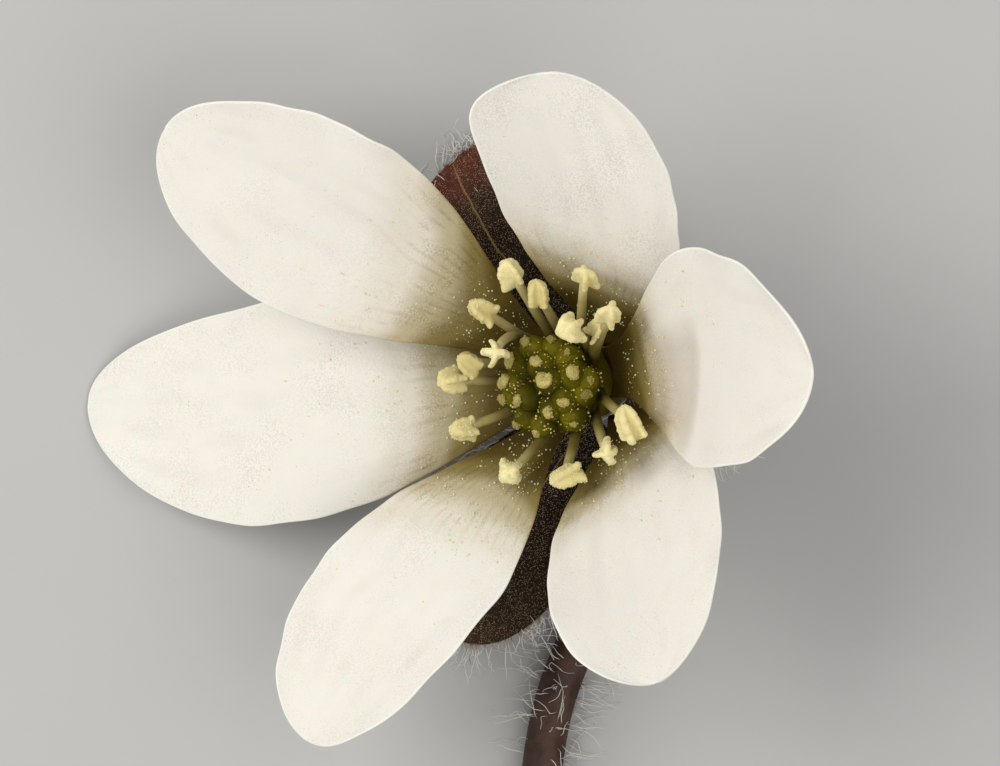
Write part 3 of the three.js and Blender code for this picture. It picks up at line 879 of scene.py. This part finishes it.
def build_stem(skin, hair_skin):
    rng = default_rng(31)
    sides = 28
    path, radii = stem_path()
    angles = (np.arange(sides) + 0.5) / sides
    share = np.linspace(0, 1, len(path))
    ribs = 1 + 0.025 * waves((share[:, None] * 40, np.sin(TURN * angles)[None] * 2), rng, 0.5, 2.0)
    widths = np.minimum(radii[:, None] * ribs, radii[:, None] * 1.04)
    points, faces = tube(path, widths, sides)
    points[:, 2] = np.maximum(points[:, 2], 0.005)
    along = np.append(np.repeat(share, sides), [0, 1])
    turn = np.append(np.tile(angles, len(path)), [0, 0])
    add_piece("stem_skin", points, faces, {"along": along, "across": turn}, skin, "stem")

    # The hairs start under the receptacle, and none grows where the stem lies on the surface.
    first_station, clearance = 34, 0.12
    station = rng.uniform(first_station, len(path) - 3, STEM_HAIRS)
    low = station.astype(int)
    part = (station - low)[:, None]
    centre = path[low] * (1 - part) + path[low + 1] * part
    first, second = across_from(unit(path[low + 1] - path[low]))
    spin = rng.uniform(0, TURN, STEM_HAIRS)[:, None]
    out = np.cos(spin) * first + np.sin(spin) * second
    keep = (centre + out * STEM_RADIUS)[:, 2] > clearance
    course = unit(out + rng.normal(size=(STEM_HAIRS, 3)) * 0.28)
    roots = centre + out * STEM_RADIUS * 0.97
    lengths = rng.uniform(*STEM_HAIR_LENGTHS, STEM_HAIRS)
    fur = Body()
    grow_hairs(fur, roots[keep], course[keep], lengths[keep], STEM_HAIR_RADIUS, 0.22, rng, droop=0.04)
    fur.piece("stem_hairs", hair_skin, "stem", "stem")


def roundness(share):
    """How wide a ball is at a share of the way along it, against its middle."""
    return np.sqrt(np.maximum(0, 1 - (2 * share - 1) ** 2))


def lumpy(width, depth, rng, roughness, power=1.0):
    """The reach of an uneven ovoid, for turned_body. A lower power makes its ends blunter."""
    phases = rng.uniform(0, TURN, 6)

    def reach(share, angle):
        oval = width * depth / np.sqrt((depth * np.cos(angle)) ** 2 + (width * np.sin(angle)) ** 2) / 2
        uneven = sum(
            np.sin((k + 2) * angle + phase + 5 * share) * np.cos((k + 1) * 3 * share + phase)
            for k, phase in enumerate(phases)
        )
        return oval * roundness(share) ** power * (1 + roughness * uneven / 3)

    return reach


def scatter_grains(body, places, rng, sizes, **fields):
    """Adds a small ball at each place, its diameter drawn between two sizes, more often small."""
    points, faces = turned_body(1.0, lambda share, angle: roundness(share) / 2, rings=3, sides=6)
    for place in places:
        size = sizes[0] + (sizes[1] - sizes[0]) * rng.uniform() ** 2
        body.add(points * size + place, faces, **fields)


def carpel_places():
    """Each carpel's middle, direction and tip, in the bloom's frame."""
    for azimuth, radius, height in CARPELS:
        tip = around(azimuth, radius, height)
        root = around(azimuth, radius * CARPEL_ROOT[0], CARPEL_ROOT[1])
        direction = unit(tip - root)
        yield tip - direction * CARPEL_LENGTH / 2, direction, tip


def build_carpels(skin, stigma_skin):
    rng = default_rng(51)
    head, stigmas = Body(), Body()
    heights = (0.9, 1.2, 1.5, 1.8, 2.1, 2.4, 2.7)
    radii = (0.9, 1.25, 1.42, 1.48, 1.4, 1.1, 0.55)
    points, faces = tube([[0, 0, height] for height in heights], radii, 28)
    head.add(in_row_frame(points), faces, along=0.2, middle=0)
    for middle, direction, tip in carpel_places():
        width = CARPEL_WIDTH * rng.uniform(0.94, 1.06)
        points, faces = turned_body(CARPEL_LENGTH, lumpy(width, width * 0.92, rng, 0.07), 20, 24)
        share = points[:, 2] / CARPEL_LENGTH + 0.5
        placed = facing(points, direction, middle, rng.uniform(0, 360))
        off_axis = np.hypot(placed[:, 0], placed[:, 1])
        # How much painted shade darkens this point, most near the head's axis.
        hollow_shade = np.exp(-((off_axis / HOLLOW_SHADE_REACH) ** 2))
        head.add(in_row_frame(placed), faces, along=share, middle=hollow_shade)
        inner = np.hypot(tip[0], tip[1]) < INNER_STIGMAS
        width = STIGMA_WIDTH * rng.uniform(0.7, 1.35) * (1.0 if inner else 0.8)
        shape = lumpy(width, width * rng.uniform(0.7, 1), rng, 0.22, power=0.7)
        points, faces = turned_body(width * 0.5, shape, 14, 24)
        course = unit(direction + rng.normal(size=3) * 0.2)
        placed = in_row_frame(facing(points, course, tip + direction * 0.03, rng.uniform(0, 360)))
        # Outer stigmas get a deeper tone, partly their own colour and partly painted shade.
        tone = rng.uniform(0, 0.35) if inner else rng.uniform(0.5, 0.95)
        stigmas.add(placed, faces, tone=tone)
        places = placed[rng.integers(len(placed), size=GRAINS_ON_STIGMA)]
        scatter_grains(stigmas, places, rng, (0.05, 0.095), tone=tone * 0.8)
    head.piece("carpel_bodies", skin, "carpels", "carpels")
    stigmas.piece("carpel_stigmas", stigma_skin, "carpels", "carpels")


def bar_reach(away, length, half_width):
    """How far a round-ended bar from the middle reaches, at an angle away from its own course."""
    cap_middle = np.maximum(length - half_width, 0)
    sine, cosine = np.abs(np.sin(away)), np.cos(away)
    side = half_width / np.maximum(sine, 1e-6)
    cap = cap_middle * cosine + np.sqrt(np.maximum(0, half_width**2 - (cap_middle * sine) ** 2))
    reach = np.where(side * cosine <= cap_middle, side, cap)
    return np.where(cosine > 0, reach, half_width)


def anther_body(length, width, valves, core, rng):
    """A closed anther along Z: four thin valves round a core, domed above, with hanging lower corners."""
    share, angle = ring_grid(rings=36, sides=120)
    turns = np.radians([0, 90, 180, 270]) + rng.uniform(-0.3, 0.3, 4)
    half_widths = np.array([0.25, 0.2, 0.23, 0.19]) * rng.uniform(0.85, 1.15, 4)
    curls = rng.uniform(0.0, 0.35, 4) * rng.choice([-1, 1], 4)
    corners = rng.uniform(0.05, 0.3, 4)
    phases = rng.uniform(0, TURN, 8)
    dome = np.sqrt(np.maximum(0, 1 - np.clip((share - 0.35) / 0.65, 0, 1) ** 2.2))
    closing = np.maximum(0, 1 - np.abs(2 * share - 1) ** 7) ** 0.5
    total = (core * np.maximum(0, 1 - np.abs(2 * share - 1) ** 2.5) ** 0.4) ** 5
    turned, hang = 0.0, 0.0
    for index, (turn, half_width, valve) in enumerate(zip(turns, half_widths, valves)):
        nicks = 0.03 * np.sin(21 * share + phases[index]) + 0.022 * np.sin(43 * share + phases[index + 4])
        corner = corners[index] * np.exp(-(((share - 0.12) / 0.09) ** 2))
        length_here = valve * (dome * (0.92 + nicks) + corner)
        arm = bar_reach(angle - turn, length_here, half_width * (0.6 + 0.4 * dome))
        total = total + arm**5
        turned = turned + arm**5 * curls[index]
        hang = hang + arm**5 * (0.04 + corners[index] * 0.6)
    reach = total**0.2
    turned, hang = turned / total, hang / total
    height = ((share - 0.5) - hang * reach**2 * (1 - share) ** 2) * length
    return body_along_z(width / 2 * closing * reach, angle + turned * reach**1.6, height, length)


def filament_path(azimuth, radius, height):
    bow = np.clip(BOW_REACH - BOW_LESS_PER_RADIUS * radius, *BOW_RANGE)
    foot = around(azimuth, *FILAMENT_FOOT)
    start = around(azimuth, *STAMEN_RING)
    middle = around(azimuth, bow, BOW_HEIGHT)
    end = around(azimuth, radius, height)
    t = np.linspace(0, 1, 22)[:, None]
    curve = (1 - t) ** 2 * start + 2 * (1 - t) * t * middle + t**2 * end
    return np.concatenate([[foot, (foot + start) / 2], curve])


def build_stamens(filament_skin, anther_skin, pollen):
    rng = default_rng(71)
    stalks, anthers, grains = Body(), Body(), Body()
    for azimuth, radius, height, scale, heading, rise, roll, valves, core, tone, coat in STAMENS:
        path = filament_path(azimuth, radius, height)
        share = np.linspace(0, 1, len(path))
        radii = FILAMENT_RADII[0] + (FILAMENT_RADII[1] - FILAMENT_RADII[0]) * share
        points, faces = tube(path, radii, FILAMENT_SIDES)
        along = np.append(np.repeat(share, FILAMENT_SIDES), [0, 1])
        stalks.add(in_row_frame(points), faces, along=along)
        points, faces = anther_body(ANTHER_LENGTH * scale, ANTHER_WIDTH * scale, valves, core, rng)
        placed = facing(points, pointing(heading, rise), in_row_frame(path[-1]), roll)
        anthers.add(placed, faces, tone=tone)
        scatter_grains(grains, placed[rng.integers(len(placed), size=coat)], rng, (0.035, 0.07))
    stalks.piece("stamen_filaments", filament_skin, "stamens", "stamens")
    anthers.piece("stamen_anthers", anther_skin, "stamens", "stamens")
    grains.piece("pollen_on_anthers", pollen, "stamens")


def build_pollen(skin, head_skin):
    """Pollen grains on the carpels and on the sepals' bases, thinning outwards."""
    rng = default_rng(91)
    clusters = 16
    on_head, on_sepals = Body(), Body()
    for middle, direction, _ in carpel_places():
        count = rng.integers(14, 60)
        spread = unit(rng.normal(size=(count, 3)) + direction * 0.9 + rng.normal(size=3) * 0.5)
        shift = direction * (CARPEL_LENGTH - CARPEL_WIDTH) / 2
        ends = np.sign(spread @ direction)[:, None] * rng.uniform(0, 1, (count, 1))
        places = middle + shift * ends + spread * CARPEL_WIDTH / 2
        scatter_grains(on_head, in_row_frame(places), rng, (0.03, 0.09))
    for blade in SEPALS:
        count = blade["pollen"]
        along, across = rng.uniform(0.1, 0.42, clusters), rng.uniform(-0.8, 0.8, clusters)
        pick = rng.integers(clusters, size=count)
        s = np.clip(along[pick] + rng.normal(size=count) * 0.04, 0.06, 0.7)
        u = np.clip(across[pick] + rng.normal(size=count) * 0.15, -0.9, 0.9)
        loose = rng.uniform(size=count) < 0.55
        s = np.where(loose, 0.08 + 0.55 * rng.uniform(size=count) ** 1.6, s)
        u = np.where(loose, rng.uniform(-0.9, 0.9, count), u)
        clear = SEPAL_THICKNESS / 2 + 0.02
        places = blade_points(blade, s, u) + blade_normals(blade, s, u) * clear
        scatter_grains(on_sepals, in_row_frame(places), rng, (0.025, 0.075))
    on_head.piece("pollen_on_carpels", head_skin, "stamens")
    on_sepals.piece("pollen_on_sepals", skin, "stamens")


# ---- stage


def add_light(name, azimuth, elevation, distance, size, power, colour=(1.0, 1.0, 1.0)):
    """A square soft light that faces the bloom, placed round it in degrees and metres."""
    light = bpy.data.lights.new(name, "AREA")
    light.size = size
    light.energy = power
    light.color = colour
    lamp = add_object(name, light)
    centre = Vector(BLOOM_BASE * MM)
    lamp.location = centre + distance * Vector(pointing(azimuth, elevation))
    lamp.rotation_euler = (centre - lamp.location).to_track_quat("-Z", "Y").to_euler()


def build_stage():
    reach, top = FLOOR_HALF_SIDE * MM, FLOOR_TOP * MM
    corners = [(-reach, -reach, top), (reach, -reach, top), (reach, reach, top), (-reach, reach, top)]
    mesh = bpy.data.meshes.new("floor")
    mesh.from_pydata(corners, [], [(0, 1, 2, 3)])
    mesh.materials.append(floor_material())
    add_object("floor", mesh)

    world = bpy.data.worlds.new("studio")
    world.use_nodes = True
    background = world.node_tree.nodes["Background"]
    background.inputs["Color"].default_value = WORLD_COLOUR
    background.inputs["Strength"].default_value = WORLD_STRENGTH
    bpy.context.scene.world = world
    bpy.context.scene.view_settings.view_transform = "Standard"

    warm = (1.0, 0.99, 0.965)
    add_light("key", azimuth=162, elevation=48, distance=0.4, size=0.24, power=1.05, colour=warm)
    add_light("fill", azimuth=330, elevation=64, distance=0.45, size=0.35, power=0.7)

    lens = bpy.data.cameras.new("camera")
    lens.lens = lens.sensor_width * (CAMERA_HEIGHT - SCALE_HEIGHT) / VIEW_WIDTH
    lens.clip_start = 0.01
    lens.clip_end = 5.0
    camera = add_object("camera", lens)
    camera.location = Vector((BLOOM_BASE[0] - CAMERA_OFFSET, BLOOM_BASE[1], CAMERA_HEIGHT)) * MM
    bpy.context.scene.camera = camera


def main():
    hair_skin = hair_material()
    sepal_skin = sepal_material()
    for number, blade in enumerate(SEPALS, 1):
        build_sepal(number, blade, sepal_skin)
    bract_skin = bract_material()
    for number, blade in enumerate(BRACTS, 1):
        build_bract(number, blade, bract_skin, hair_skin)
    build_stem(stem_material(), hair_skin)
    stigma_skin = granular_material("stigma", (0.6, 0.5, 0.17), (0.16, 0.125, 0.01), 0.06)
    build_carpels(carpel_material(), stigma_skin)
    anther_skin = granular_material("anther", (0.92, 0.83, 0.45), (0.56, 0.46, 0.17), 0.03)
    pollen = granular_material("pollen", (0.84, 0.78, 0.46), (0.7, 0.63, 0.32), 0.02)
    build_stamens(filament_material(), anther_skin, pollen)
    dull_pollen = granular_material("pollen_of_carpels", (0.66, 0.56, 0.17), (0.36, 0.3, 0.05), 0.02)
    build_pollen(pollen, dull_pollen)
    build_stage()


main()
